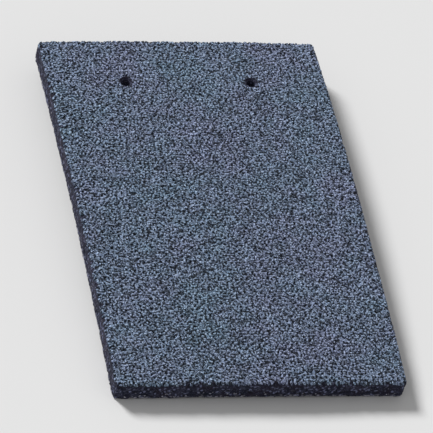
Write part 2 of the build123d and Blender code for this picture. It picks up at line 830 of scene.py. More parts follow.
@dataclass(frozen=True)
class SandFace:
    """The weathered face: a pavement of angular sand grains with pits between them, which the
    finish paints dark as shade.
    """

    camber: Camber
    region: Region
    patch: MapPatch
    seed: int = 7

    # Distances between grains, between those along the edges, and between pits
    spacing: float = 2.04 * MM
    rim_spacing: float = 1.70 * MM
    pit_spacing: float = 2.0 * MM

    # The worn arris, with its wear and chips in parts of its radius
    arris: float = 1.7 * MM
    wear: tuple[Ripple, Ripple] = (Ripple(0.25, 9 * MM, 3.1), Ripple(0.2, 3 * MM, 8.2))
    chips: Ripple = Ripple(3.5, 5 * MM, 21.7, least=0.34)

    # How deep the corners between grains lie, and how that varies
    groove_depth: float = 0.22 * MM
    pit_depth: float = 0.85 * MM
    rim_depth: float = 0.176 * MM
    depth_wander: tuple[float, float] = (0.6, 1.35)
    ragged_rim: Ripple = Ripple(0.55 * MM, 4 * MM, 12.3)

    # How high the grains' tops stand, and the spread of their heights and slopes
    crown: float = 0.12 * MM
    tip_height: float = 0.12 * MM
    grain_lift: float = 0.07 * MM
    grain_slope: float = 0.12
    corner_wander: float = 0.07 * MM
    highest: float = 0.50 * MM

    # How many corners a top has, the odds of each number, and how far they stray round it
    corner_counts: tuple[int, int] = (4, 5)
    count_odds: tuple[float, float] = (0.65, 0.35)
    turn_wander: float = 0.2

    # How far a top reaches towards a groove, a pit and a rim, in parts of the way
    groove_share: tuple[float, float] = (0.56, 0.79)
    pit_share: tuple[float, float] = (0.25, 0.43)
    rim_share: tuple[float, float] = (0.50, 0.80)

    # How many grains are lost, and how many of those on the rim are broken off
    lost_grains: float = 0.006
    broken_rim: float = 0.10
    lost_depth: float = 0.50 * MM

    # Shade values of the grains, the lost ones and the rim, which the finish paints as shade and
    # highlight
    flank_shade: tuple[float, float] = (0.6, 0.74)
    lost_shade: tuple[float, float] = (0.05, 0.5)
    rim_shade: float = 0.42
    rim_tone: Ripple = Ripple(0.3, 5 * MM, 5.1)

    def arris_drop(self, points: Array) -> Array:
        """How far the worn arris falls away below the face.

        Args:
            points: Flat points.

        Returns:
            A depth for each.
        """
        outline = self.region.outline
        wear = 1 + self.wear[0].over(points) + self.wear[1].over(points)
        radius = self.arris * (wear + self.chips.crests(points))
        short = np.clip(radius - outline.inset(points), 0, radius)
        return radius - np.sqrt(radius**2 - short**2)

    def add_to(self, skin: Skin) -> list[Loop]:
        """Adds the face to the skin.

        Args:
            skin: The tile's mesh.

        Returns:
            The face's rim along the outline, and then round each hole.
        """
        rng = np.random.default_rng(self.seed)
        grown = GrainCells.grown(self.region, self.spacing, self.rim_spacing, rng)
        pavement, loops = grown.with_halved_rims(self.region)
        corners = pavement.corners
        kinds = np.full(len(corners), Corner.GROOVE)
        kinds[[name for loop in loops for name in loop]] = Corner.RIM
        kinds[self._pits(corners, kinds == Corner.GROOVE, rng)] = Corner.PIT
        depth = np.array((self.groove_depth, self.pit_depth, self.rim_depth))[kinds]
        depth *= -rng.uniform(*self.depth_wander, len(corners))
        depth += np.where(kinds == Corner.RIM, self.ragged_rim.over(corners), 0)
        shade = rng.uniform(*self.flank_shade, len(corners))
        # Pits get no shade value, which the finish paints near-black as shade
        shade[kinds == Corner.PIT] = 0
        # The shade value along the rim wavers, for painted shade that darkens towards the arris
        along_rim = self.rim_shade + self.rim_tone.over(corners)
        shade = np.where(kinds == Corner.RIM, along_rim, shade)
        flat = np.column_stack((corners, depth - self.arris_drop(corners)))
        fall = np.where(kinds == Corner.RIM, -1.0, 0.0)
        corner_ids = skin.add_vertices(self.camber.bend(flat), shade, fall)

        tops, shade, faces, grain, finish = self._grains(pavement, kinds, corner_ids, rng)
        heights = np.minimum(tops[:, 2] + self.crown, self.highest)
        heights -= self.arris_drop(tops[:, :2])
        top_flat = np.column_stack((tops[:, :2], heights))
        skin.add_vertices(self.camber.bend(top_flat), shade)

        everywhere = np.vstack((flat, top_flat))
        local = faces - corner_ids[0]
        layout = self.patch.place(everywhere[local][:, :, :2], self.region.outline.low_corner)
        skin.add_faces(faces, finish, layout, grain)
        log.info("sand face: %d grains, %d triangles", len(pavement.cells), len(faces))
        return [Loop(corner_ids[loop], flat[loop]) for loop in loops]

    def _pits(self, corners: Array, free: Array, rng: Random) -> Array:
        """Picks the corners where the grains leave a pit open, never two close together.

        Args:
            corners: Flat places of all corners.
            free: Which of them may be pits.
            rng: Random numbers.

        Returns:
            True for each corner that is a pit.
        """
        pits = np.zeros(len(corners), bool)
        taken: dict[tuple[int, int], list[int]] = {}
        squares = np.floor(corners / self.pit_spacing).astype(int)
        for corner in rng.permutation(np.flatnonzero(free)):
            column, row = squares[corner]
            near = [
                other
                for i in (column - 1, column, column + 1)
                for j in (row - 1, row, row + 1)
                for other in taken.get((i, j), ())
            ]
            gaps = np.linalg.norm(corners[near] - corners[corner], axis=1)
            if not (gaps < self.pit_spacing).any():
                pits[corner] = True
                taken.setdefault((column, row), []).append(corner)
        return pits

    def _grains(
        self, pavement: GrainCells, kinds: Array, corner_ids: Array, rng: Random
    ) -> tuple[Array, ...]:
        """Sets an angular grain in each cell.

        Args:
            pavement: The cells.
            kinds: The kind of each of their corners.
            corner_ids: The corners' numbers in the mesh.
            rng: Random numbers.

        Returns:
            Flat places and shades of the grains' top vertices, all triangles, and each
            one's grain and finish.
        """
        shares = (self.groove_share, self.pit_share, self.rim_share)
        tops, shades, faces, grain, finish = [], [], [], [], []
        next_id = int(corner_ids[-1]) + 1
        for seed, cell in zip(pavement.seeds, pavement.cells):
            reach = pavement.corners[cell] - seed
            turns = np.arctan2(reach[:, 1], reach[:, 0])
            start = int(turns.argmin())
            cell = cell[start:] + cell[:start]
            reach = np.roll(reach, -start, axis=0)
            turns = np.roll(turns, -start).tolist()
            count = int(rng.choice(self.corner_counts, p=self.count_odds))
            tip = int(rng.integers(count))
            broken = Corner.RIM in kinds[cell] and rng.random() < self.broken_rim
            lost = broken or rng.random() < self.lost_grains
            spin = rng.uniform(0, math.tau / count)
            stray = rng.uniform(-self.turn_wander, self.turn_wander, count)
            top_turns = (math.tau * (np.arange(count) + stray) / count - math.pi + spin).tolist()
            lift = rng.normal(0, self.grain_lift) - lost * self.lost_depth
            slope = rng.normal(0, self.grain_slope, 2)
            for number, turn in enumerate(top_turns):
                way = np.array((math.cos(turn), math.sin(turn)))
                kind = kinds[cell[int((reach @ way).argmax())]]
                offset = way * self._reach_along(reach, way) * rng.uniform(*shares[kind])
                height = lift + float(slope @ offset) + rng.normal(0, self.corner_wander)
                if number == tip:
                    height += self.tip_height
                tops.append((*(seed + offset), height))
                # The tip gets the full shade value, which the finish paints as a highlight
                shades.append(1.0 if number == tip else rng.uniform(*self.flank_shade))
            if lost:
                shades[-count:] = rng.uniform(*self.lost_shade, count)
            ring = list(range(next_id, next_id + count))
            next_id += count
            own = zipped([int(corner_ids[c]) for c in cell], ring, turns, top_turns)
            own += [(ring[0], ring[k], ring[k + 1]) for k in range(1, count - 1)]
            faces += own
            grain += [rng.random()] * len(own)
            finish += [Finish.CUT_EDGE if broken else Finish.SAND_FACE] * len(own)
        return tuple(np.array(row) for row in (tops, shades, faces, grain, finish))

    @staticmethod
    def _reach_along(reach: Array, way: Array) -> float:
        """Distance from a cell's middle to its side in one direction.

        Args:
            reach: The cell's corners, measured from its middle.
            way: The direction, of length 1.

        Returns:
            The distance.
        """
        after = np.roll(reach, -1, axis=0)
        side = after - reach
        turned = way[0] * side[:, 1] - way[1] * side[:, 0]
        turned = np.where(np.abs(turned) < 1e-12, 1e-12, turned)
        far = (reach[:, 0] * side[:, 1] - reach[:, 1] * side[:, 0]) / turned
        share = (reach[:, 0] * way[1] - reach[:, 1] * way[0]) / turned
        hits = far[(far > 0) & (share > -1e-6) & (share < 1 + 1e-6)]
        return float(hits.min()) if len(hits) else float(np.linalg.norm(reach, axis=1).min())


@dataclass(frozen=True)
class CutEdges:
    """The four upright edges: rough broken concrete with exposed grit."""

    camber: Camber
    outline: Outline
    patches: tuple[MapPatch, ...]
    rows: int = 10
    seed: int = 11

    # The relief of the broken surface, in parts of its roughness
    roughness: float = 0.30 * MM
    swell: Ripple = Ripple(0.5, 5.5 * MM, 14.2)
    grit: Ripple = Ripple(1.1, 1.7 * MM, 4.4)
    holes: Ripple = Ripple(5, 2.6 * MM, 31.4, least=0.38)
    mean_relief: float = 0.3
    deepest_hole: float = 0.8 * MM
    deepest_bed_hole: float = 0.3 * MM

    # How far single places are jogged in and out, up and down, and along the edge
    jitter: float = 0.05 * MM
    jog_down: float = 0.22 * MM
    jog_along: float = 0.16 * MM

    # How open the middle height of the relief lies, and how much its rise adds
    mean_shade: float = 0.6
    relief_shade: float = 0.45

    # The crumbled lower arris, and the length at the head where it is sound
    foot_line: Ripple = Ripple(0.2 * MM, 12 * MM, 27.2)
    notches: Ripple = Ripple(3 * MM, 4.5 * MM, 17.7, least=0.28)
    deepest_notch: float = 0.8 * MM
    sound_head: float = 6 * MM

    def add_to(self, skin: Skin, rim: Loop) -> Loop:
        """Adds the edges to the skin.

        Args:
            skin: The tile's mesh.
            rim: The face's outer rim.

        Returns:
            The loop round the underside.
        """
        rng = np.random.default_rng(self.seed)
        flat = rim.flat
        slab = self.camber.slab
        outward = self.outline.normal(flat[:, :2])
        bed_arris = slab.bed_arris + self._notches(flat)
        fall = self.foot_line.over(flat[:, :2]) + bed_arris - slab.thickness - flat[:, 2]
        levels = [(i / self.rows, 0.0, 0.0) for i in range(1, self.rows + 1)]
        for swing in (math.pi / 4, math.pi / 2):
            levels.append((1.0, 1 - math.cos(swing), math.sin(swing)))
        rings = []
        for share, inwards, under in levels:
            places = flat.copy()
            places[:, :2] -= outward * (inwards * bed_arris)[:, None]
            places[:, 2] += share * fall - under * bed_arris
            places = self._roughened(places, outward, rng, last=under == 1)
            rings.append((self.camber.bend(places), self._shade(places), share))
        run = run_along(flat[:, :2])
        lowest = skin.add_wall(rim.ids, rings, Finish.CUT_EDGE, run, self.patches)
        log.info("cut edges: %d columns, %d triangles", len(flat), 2 * len(flat) * len(levels))
        return Loop(lowest, places)

    def _notches(self, flat: Array) -> Array:
        """How much the lower arris has crumbled away, short of the nibs at the head.

        Args:
            flat: Flat places along the edge.

        Returns:
            The depth of the bite at each.
        """
        bite = np.minimum(self.notches.crests(flat[:, :2]), self.deepest_notch)
        below_nibs = flat[:, 1] < self.outline.half_length - self.sound_head
        return np.where(below_nibs, bite, 0)

    def _relief(self, places: Array) -> Array:
        """Height of the broken surface: coarse swells, grit and the odd hole."""
        return self.swell.over(places) + self.grit.over(places) - self.holes.crests(places)

    def _roughened(self, places: Array, outward: Array, rng: Random, last: bool) -> Array:
        """Moves a row in and out by the relief and jogs it out of line.

        Args:
            places: The row's flat places.
            outward: The direction out of the slab at each.
            rng: Random numbers.
            last: Whether the row is the underside's own edge, which isn't jogged.

        Returns:
            The moved places.
        """
        moved = places.copy()
        push = self.roughness * (self._relief(places) - self.mean_relief)
        push += rng.normal(0, self.jitter, len(places))
        push = np.maximum(push, -self.deepest_bed_hole if last else -self.deepest_hole)
        moved[:, :2] += outward * push[:, None]
        if last:
            return moved
        moved[:, 2] += rng.uniform(-self.jog_down, self.jog_down, len(places))
        along = np.column_stack((-outward[:, 1], outward[:, 0]))
        jog = rng.uniform(-self.jog_along, self.jog_along, len(places))
        moved[:, :2] += along * jog[:, None]
        return moved

    def _shade(self, places: Array) -> Array:
        """How open each place lies: low in holes, high on grit, which the finish paints as shade
        and highlight.
        """
        return np.clip(self.mean_shade + self.relief_shade * self._relief(places), 0, 1)


@dataclass(frozen=True)
class NailHoleWall:
    """The wall of a punched nail hole, from its flared mouth down to the underside."""

    camber: Camber
    hole: Hole
    bore: float
    flare: float
    patch: MapPatch
    rows: int = 6
    swell: Ripple = Ripple(0.07 * MM, 1.5 * MM, 9.9)
    shade: float = 0.8

    def add_to(self, skin: Skin, rim: Loop) -> Loop:
        """Adds the wall to the skin.

        Args:
            skin: The tile's mesh.
            rim: The face's rim round the hole.

        Returns:
            The loop round the gap in the underside.
        """
        way = -self.hole.normal(rim.flat[:, :2])
        circle = (self.hole.u, self.hole.v) + way * self.bore
        levels = np.linspace(-self.flare, -self.camber.slab.thickness, self.rows + 1)
        rings = []
        for number, level in enumerate(levels, start=1):
            places = np.column_stack((circle, np.full(len(circle), level)))
            places[:, :2] += way * self.swell.over(places)[:, None]
            rings.append((self.camber.bend(places), self.shade, number / len(levels)))
        run = run_along(circle)
        lowest = skin.add_wall(rim.ids, rings, Finish.CUT_EDGE, run, [self.patch])
        log.info("nail hole wall: %d columns", len(circle))
        return Loop(lowest, places)


@dataclass(frozen=True)
class Nib:
    """A hanging nib: drafted block with a bevelled foot and a root blended into the slab."""

    camber: Camber
    x: float
    y: float
    patch: MapPatch
    shade: float = 0.8
    foot_shade: float = 0.9
    waver: Ripple = Ripple(0.06 * MM, 4 * MM, 2.7)

    # The foot and what is above it
    half_width: float = 13 * MM
    half_length: float = 5.5 * MM
    corner: float = 2.5 * MM
    draft: float = math.radians(6)
    bevel: float = 1 * MM
    root: float = 2 * MM

    # Steps round a corner, along each side, and down the root and the wall
    corner_steps: int = 5
    side_steps: tuple[int, int] = (24, 9)
    root_steps: int = 4
    rows: int = 7

    # Steps over the foot, and its distance from the wall on the texture map
    foot_steps: tuple[int, int] = (10, 4)
    map_gap: float = 1 * MM

    def _loop(self, height: Array | float, grow: float) -> Array:
        """Plan of the nib at a height above the floor.

        Args:
            height: The height, or one for each place of the loop.
            grow: How far it is let out all round.

        Returns:
            Places (x, y), counter-clockwise.
        """
        core = np.array((self.half_width, self.half_length)) - self.corner
        corners = core * ((1, 1), (-1, 1), (-1, -1), (1, -1))
        cores, turns = [], []
        for quarter, (here, there) in enumerate(zip(corners, np.roll(corners, -1, axis=0))):
            share = np.linspace(0, 1, self.side_steps[quarter % 2] + 1)[1:-1]
            cores += [here] * (self.corner_steps + 1)
            cores += list(here + share[:, None] * (there - here))
            turns += list(quarter + np.linspace(0, 1, self.corner_steps + 1))
            turns += [quarter + 1] * len(share)
        turn = np.array(turns) * math.pi / 2
        way = np.column_stack((np.cos(turn), np.sin(turn)))
        reach = self.corner + height * math.tan(self.draft) + grow
        return (self.x, self.y) + np.array(cores) + way * np.reshape(reach, (-1, 1))

    def add_to(self, skin: Skin) -> Loop:
        """Adds the nib to the skin, from its root in the underside down to its foot.

        Args:
            skin: The tile's mesh.

        Returns:
            The loop round the gap in the underside.
        """
        middle_height = float(self.camber.bed_height(np.array([[self.x, self.y]]))[0])
        outer = self._loop(middle_height, self.root)
        height = self.camber.bed_height(outer)
        flat = self.camber.flatten(np.column_stack((outer, height)))
        flat[:, 2] = -self.camber.slab.thickness
        root = skin.add_vertices(self.camber.bend(flat), self.shade)
        levels = []
        for step in range(self.root_steps):
            swing = (1 - (step + 1) / self.root_steps) * math.pi / 2
            sunk = self.root * (1 - math.sin(swing))
            levels.append((height - sunk, self.root * (1 - math.cos(swing))))
        wall = height - self.root
        for row in range(1, self.rows + 1):
            levels.append((wall + (self.bevel - wall) * row / self.rows, 0.0))
        levels.append((np.zeros(len(outer)), -self.bevel))
        rings = []
        for level, grow in levels:
            plan = self._loop(level, grow)
            world = np.column_stack((plan, level))
            inward = (self.x, self.y) - plan
            inward /= np.linalg.norm(inward, axis=1, keepdims=True)
            world[:, :2] += inward * self.waver.over(world)[:, None]
            rings.append((world, self.shade))
        run = run_along(outer)
        foot = skin.add_wall(root, rings, Finish.MOULD_FACE, run, [self.patch])
        self._add_foot(skin, foot, world)
        log.info("nib: %d triangles round it", 2 * len(outer) * len(levels))
        return Loop(root, flat)

    def _add_foot(self, skin: Skin, rim: Array, world: Array) -> None:
        """Closes the nib with the foot that it stands on.

        Args:
            skin: The tile's mesh.
            rim: Vertex numbers of the wall's lowest loop.
            world: Their places.
        """
        grid = np.meshgrid(*(np.linspace(-1, 1, steps + 1)[1:-1] for steps in self.foot_steps))
        flat_size = np.array((self.half_width, self.half_length)) - self.bevel
        inner = (self.x, self.y) + np.reshape(grid, (2, -1)).T * flat_size
        faces = filled_sheet([world[:, :2]], inner)[:, ::-1]
        places = np.column_stack((inner, np.zeros(len(inner))))
        own = skin.add_vertices(places, self.foot_shade)
        ids = np.concatenate((rim, own))
        spots = np.vstack((world[:, :2], inner))[faces]
        above_wall = skin.wall_depth + self.map_gap
        corner = (self.x - self.half_width, self.y - self.half_length - above_wall)
        skin.add_faces(ids[faces], Finish.MOULD_FACE, self.patch.place(spots, corner))


@dataclass(frozen=True)
class Underside:
    """The underside, as the mould left it: nearly smooth, with small blow holes."""

    camber: Camber
    outline: Outline
    patch: MapPatch
    swell: Ripple = Ripple(0.05 * MM, 22 * MM, 6.3)
    seed: int = 23

    # The lattice that the sheet is made on
    spacing: float = 4.6 * MM
    edge_gap: float = 1.3 * MM

    # Blow holes: their number, their distance from an edge, and their radii
    blow_holes: int = 130
    hole_gap: float = 2.5 * MM
    hole_odds: tuple[float, float] = (2.2, 0.28 * MM)
    least_hole: float = 0.35 * MM
    widest_hole: float = 1.9 * MM

    # A hole's depth, rings and clear space in parts of its radius
    hole_depth: float = 0.75
    hole_rings: tuple[float, float] = (1.0, 0.62)
    hole_clearance: float = 1.3
    hole_sides: int = 8
    # Depth at which a blow hole gets a shade value of 0, which the mould finish paints as its
    # darkest shade
    darkest_depth: float = 0.5 * MM

    def add_to(self, skin: Skin, loops: list[Loop]) -> None:
        """Adds the underside to the skin.

        Args:
            skin: The tile's mesh.
            loops: Its outline, and then each gap in it.
        """
        rng = np.random.default_rng(self.seed)
        craters = self._craters(loops, rng)
        inner = self._inner_points(loops, craters, rng)
        height = -self.camber.slab.thickness + self._relief(inner, craters)
        flat = np.column_stack((inner, height))
        # The shade value falls with depth in the blow holes, for painted shade there
        depth = np.clip((height + self.camber.slab.thickness) / self.darkest_depth, 0, 1)
        own = skin.add_vertices(self.camber.bend(flat), 1 - depth)
        ids = np.concatenate([*(loop.ids for loop in loops), own])
        edges = [loop.flat[:, :2] for loop in loops]
        faces = filled_sheet(edges, inner)[:, ::-1]
        spots = np.vstack((*edges, inner))[faces]
        layout = self.patch.place(spots, self.outline.low_corner)
        skin.add_faces(ids[faces], Finish.MOULD_FACE, layout)
        log.info("underside: %d blow holes, %d triangles", len(craters), len(faces))

    def _clear(self, points: Array, loops: list[Loop], gap: float) -> Array:
        """Finds the points that lie on the underside and keep clear of all its edges.

        Args:
            points: Flat points.
            loops: The outline, and then each gap in the underside.
            gap: The distance that they keep.

        Returns:
            True for each point that does.
        """
        clear = self.outline.inset(points) > gap + self.camber.slab.bed_arris
        for loop in loops[1:]:
            clear &= ~inside_loop(points, loop.flat[:, :2])
            for spot in loop.flat[:, :2]:
                clear &= np.linalg.norm(points - spot, axis=1) > gap
        return clear

    def _craters(self, loops: list[Loop], rng: Random) -> Array:
        """Scatters the blow holes.

        Args:
            loops: The outline, and then each gap in the underside.
            rng: Random numbers.

        Returns:
            Middle and radius of each.
        """
        reach = (self.outline.half_width, self.outline.half_length)
        middles = rng.uniform(-1, 1, (self.blow_holes, 2)) * reach
        middles = middles[self._clear(middles, loops, self.hole_gap)]
        radii = rng.gamma(*self.hole_odds, len(middles)) + self.least_hole
        return np.column_stack((middles, np.minimum(radii, self.widest_hole)))

    def _inner_points(self, loops: list[Loop], craters: Array, rng: Random) -> Array:
        """Lays a loose lattice over the underside, and rings of points in each blow hole.

        Args:
            loops: The outline, and then each gap in the underside.
            craters: Middle and radius of each blow hole.
            rng: Random numbers.

        Returns:
            Flat points.
        """
        region = Region(self.outline, ())
        lattice = GrainCells.scattered(region, self.spacing, rng)
        lattice = lattice[self._clear(lattice, loops, self.edge_gap)]
        for u, v, radius in craters:
            away = np.hypot(lattice[:, 0] - u, lattice[:, 1] - v)
            lattice = lattice[away > self.hole_clearance * radius]
        turns = np.arange(self.hole_sides) * math.tau / self.hole_sides
        circle = np.column_stack((np.cos(turns), np.sin(turns)))
        rings = [lattice]
        for u, v, radius in craters:
            rings += [(u, v) + circle * radius * share for share in self.hole_rings]
        return np.vstack(rings)

    def _relief(self, points: Array, craters: Array) -> Array:
        """How far each point lies up into the slab: slow swells and the blow holes.

        Args:
            points: Flat points.
            craters: Middle and radius of each blow hole.

        Returns:
            A height for each.
        """
        lift = self.swell.height + self.swell.over(points)
        for u, v, radius in craters:
            away = np.hypot(points[:, 0] - u, points[:, 1] - v) / radius
            lift += self.hole_depth * radius * np.sqrt(np.clip(1 - away**2, 0, 1))
        return lift


class NodeTree:
    """A node tree, with short ways to add and link its nodes."""

    def __init__(self, owner: bpy.types.ID) -> None:
        """Turns on a material's or a world's nodes.

        Args:
            owner: The material or the world.
        """
        owner.use_nodes = True
        self.nodes = owner.node_tree.nodes
        self._links = owner.node_tree.links

    def link(self, source: Socket, target: Socket) -> None:
        """Links an output to an input."""
        self._links.new(source, target)

    def add(self, kind: str, inputs: dict, **settings: object) -> bpy.types.Node:
        """Adds a node.

        Args:
            kind: The node's type, without the words that all types start with.
            inputs: For each input, the output or the value that feeds it.
            settings: The node's own settings, which are made first.

        Returns:
            The node.
        """
        node = self.nodes.new("ShaderNode" + kind)
        for name, value in settings.items():
            setattr(node, name, value)
        for name, value in inputs.items():
            target = node.inputs[name]
            if isinstance(value, Socket):
                self.link(value, target)
            else:
                target.default_value = value[:3] if target.type == "VECTOR" else value
        return node

    def maths(self, operation: str, first: object, second: object) -> Socket:
        """The outcome of a sum, such as MULTIPLY, on two numbers."""
        return self.add("Math", {0: first, 1: second}, operation=operation).outputs[0]

    def ranged(
        self, value: Socket, old: tuple[float, float], new: tuple[float, float] = (0, 1)
    ) -> Socket:
        """A number taken from one range to another, held within it."""
        ends = dict(zip(("From Min", "From Max", "To Min", "To Max"), (*old, *new)))
        return self.add("MapRange", {"Value": value, **ends}).outputs["Result"]


class Concrete(NodeTree):
    """A material for concrete, with the patterns that its finishes are mixed from."""

    def __init__(self, name: str) -> None:
        """Makes a new material that holds only its shader and its output.

        Args:
            name: The material's name.
        """
        self.material = bpy.data.materials.new(name)
        super().__init__(self.material)
        self.place = self.add("TexCoord", {}).outputs["Object"]

    def attribute(self, name: str) -> Socket:
        """A number that the mesh carries."""
        return self.add("Attribute", {}, attribute_name=name).outputs["Fac"]

    def noise(self, feature: float, detail: float = 3, roughness: float = 0.55) -> Socket:
        """Cloudy noise with features of this size."""
        look = {"Scale": 1 / feature, "Detail": detail, "Roughness": roughness}
        return self.add("TexNoise", {"Vector": self.place, **look}).outputs["Fac"]

    def stipple(self, feature: float, place: Socket, distortion: float = 0.2) -> Socket:
        """Even mottling, which is tilted so that it doesn't run in streaks down an arris.

        Args:
            feature: Size of its spots when they are seen from above.
            place: Where it is read.
            distortion: How far its spots are bent.

        Returns:
            A number from about 0 to 1.
        """
        tilted = self.add("Mapping", {"Vector": place, "Rotation": (0.45, 0.4, 0.3)})
        look = {"Scale": 1 / feature, "Detail": 0, "Distortion": distortion}
        vector = {"Vector": tilted.outputs["Vector"]}
        return self.add("TexNoise", {**vector, **look}, noise_dimensions="2D").outputs["Fac"]

    def stones(self, feature: float, share: float, roundness: float = 0.4) -> tuple[Socket, Socket]:
        """Rounded stones scattered through the concrete.

        Args:
            feature: Distance between the middles of neighbouring cells.
            share: The least random number that gives a cell a stone.
            roundness: Radius of a stone, in parts of that distance.

        Returns:
            Where the stones are, from 0 to 1, and each cell's own random number.
        """
        wander = self.add("TexNoise", {"Vector": self.place, "Scale": 1.6 / feature})
        push = {0: wander.outputs["Color"], 1: (0.9 * feature,) * 3, 2: self.place}
        pushed = self.add("VectorMath", push, operation="MULTIPLY_ADD").outputs["Vector"]
        node = self.add("TexVoronoi", {"Vector": pushed, "Scale": 1 / feature})
        tone = node.outputs["Color"]
        picked = self.ranged(tone, (share, share + 0.02))
        near = self.ranged(node.outputs["Distance"], (roundness, roundness - 0.12))
        return self.maths("MULTIPLY", picked, near), tone

    def crumbs(self, feature: float) -> tuple[Socket, ...]:
        """Packed crumbs: the distance from each one's middle, its own random number, its middle."""
        node = self.add("TexVoronoi", {"Vector": self.place, "Scale": 1 / feature})
        return node.outputs["Distance"], node.outputs["Color"], node.outputs["Position"]

    def mixed(self, share: object, first: object, second: object) -> Socket:
        """A mix of two colours."""
        inputs = {"Factor": share, "A": first, "B": second}
        return self.add("Mix", inputs, data_type="RGBA").outputs["Result"]

    def dimmed(self, colour: object, amount: Socket) -> Socket:
        """A colour made darker or lighter by a number."""
        inputs = {0: colour, "Scale": amount}
        return self.add("VectorMath", inputs, operation="SCALE").outputs["Vector"]

    def surfaced(
        self, colour: Socket, roughness: float, shine: float, height: Socket, depth: float
    ) -> Material:
        """Feeds the shader.

        Args:
            colour: The surface's colour.
            roughness: How matt it is.
            shine: How strongly it mirrors light.
            height: Its fine relief.
            depth: How deep that relief is.

        Returns:
            The material.
        """
        relief = self.add("Bump", {"Height": height, "Distance": depth})
        shader = self.nodes["Principled BSDF"]
        self.link(colour, shader.inputs["Base Color"])
        self.link(relief.outputs["Normal"], shader.inputs["Normal"])
        shader.inputs["Roughness"].default_value = roughness
        shader.inputs["Specular IOR Level"].default_value = shine
        return self.material


def tint(red: float, green: float, blue: float) -> Colour:
    """A colour with full alpha."""
    return (red, green, blue, 1.0)


@dataclass(frozen=True)
class SandFinish:
    """Slate-grey coated sand: painted highlight on the grains' tips, painted shade in the pits, and
    crumbs between them with random tone and painted shade and light.
    """

    cool: Colour = tint(0.151, 0.231, 0.326)
    violet: Colour = tint(0.186, 0.215, 0.337)
    # Pale blue-white for each grain's tip: painted highlight
    tip: Colour = tint(0.68, 0.80, 0.98)
    # Near-black that is painted into the pits: painted shade
    pit: Colour = tint(0.005, 0.008, 0.015)
    bare: Colour = tint(0.014, 0.015, 0.032)
    crumb_size: float = 0.75 * MM
    spot_size: float = 1.0 * MM

    def material(self) -> Material:
        """Makes the material.

        Returns:
            The material.
        """
        tree = Concrete("sand_face")
        drift = tree.ranged(tree.noise(40 * MM, 5, 0.7), (0.36, 0.64))
        colour = tree.mixed(drift, self.cool, self.violet)
        cloud = tree.ranged(tree.noise(16 * MM, 4), (0.3, 0.7), (0.94, 1.06))
        grain = tree.ranged(tree.attribute("grain"), (0, 1), (0.95, 1.05))
        away, crumb, middle = tree.crumbs(self.crumb_size)
        spots = tree.stipple(self.spot_size, middle)
        # Painted shade in small hollows and painted light between them; the relief has none of
        # these hollows
        painted_hollow_shade = tree.ranged(spots, (0.38, 0.54), (0.12, 1.46))
        tone = tree.maths("MULTIPLY", tree.maths("MULTIPLY", cloud, grain), painted_hollow_shade)
        # Painted shade along the seams between crumbs and painted light on their middles
        painted_seam_shade = tree.ranged(away, (0.34, 0.62), (1.2, 0.55))
        crumb = tree.ranged(crumb, (0.2, 0.8), (0.85, 1.15))
        tone = tree.maths("MULTIPLY", tone, tree.maths("MULTIPLY", painted_seam_shade, crumb))
        shade = tree.attribute("shade")
        # Painted highlight: paler towards the tip colour where the shade value is high, most on
        # each grain's tip
        painted_highlight = tree.ranged(shade, (0.62, 1), (0, 0.35))
        colour = tree.mixed(painted_highlight, colour, self.tip)
        colour = tree.dimmed(colour, tone)
        # Painted shade: the colour goes to the near-black pit colour where the shade value is low,
        # in the pits, the lost grains and along the rim
        painted_shade_factor = tree.ranged(shade, (0.22, 0.6))
        colour = tree.mixed(painted_shade_factor, self.pit, colour)
        nearness = tree.ranged(tree.attribute("fall"), (0, -1))
        ragged = tree.ranged(tree.noise(1.1 * MM, 3), (0.3, 0.7), (-0.4, 0.4))
        thin = tree.ranged(tree.maths("ADD", nearness, ragged), (0.5, 0.62))
        colour = tree.mixed(thin, colour, self.bare)
        height = tree.maths("SUBTRACT", tree.noise(0.35 * MM, 3, 0.6), away)
        return tree.surfaced(colour, roughness=0.9, shine=0.3, height=height, depth=0.25 * MM)


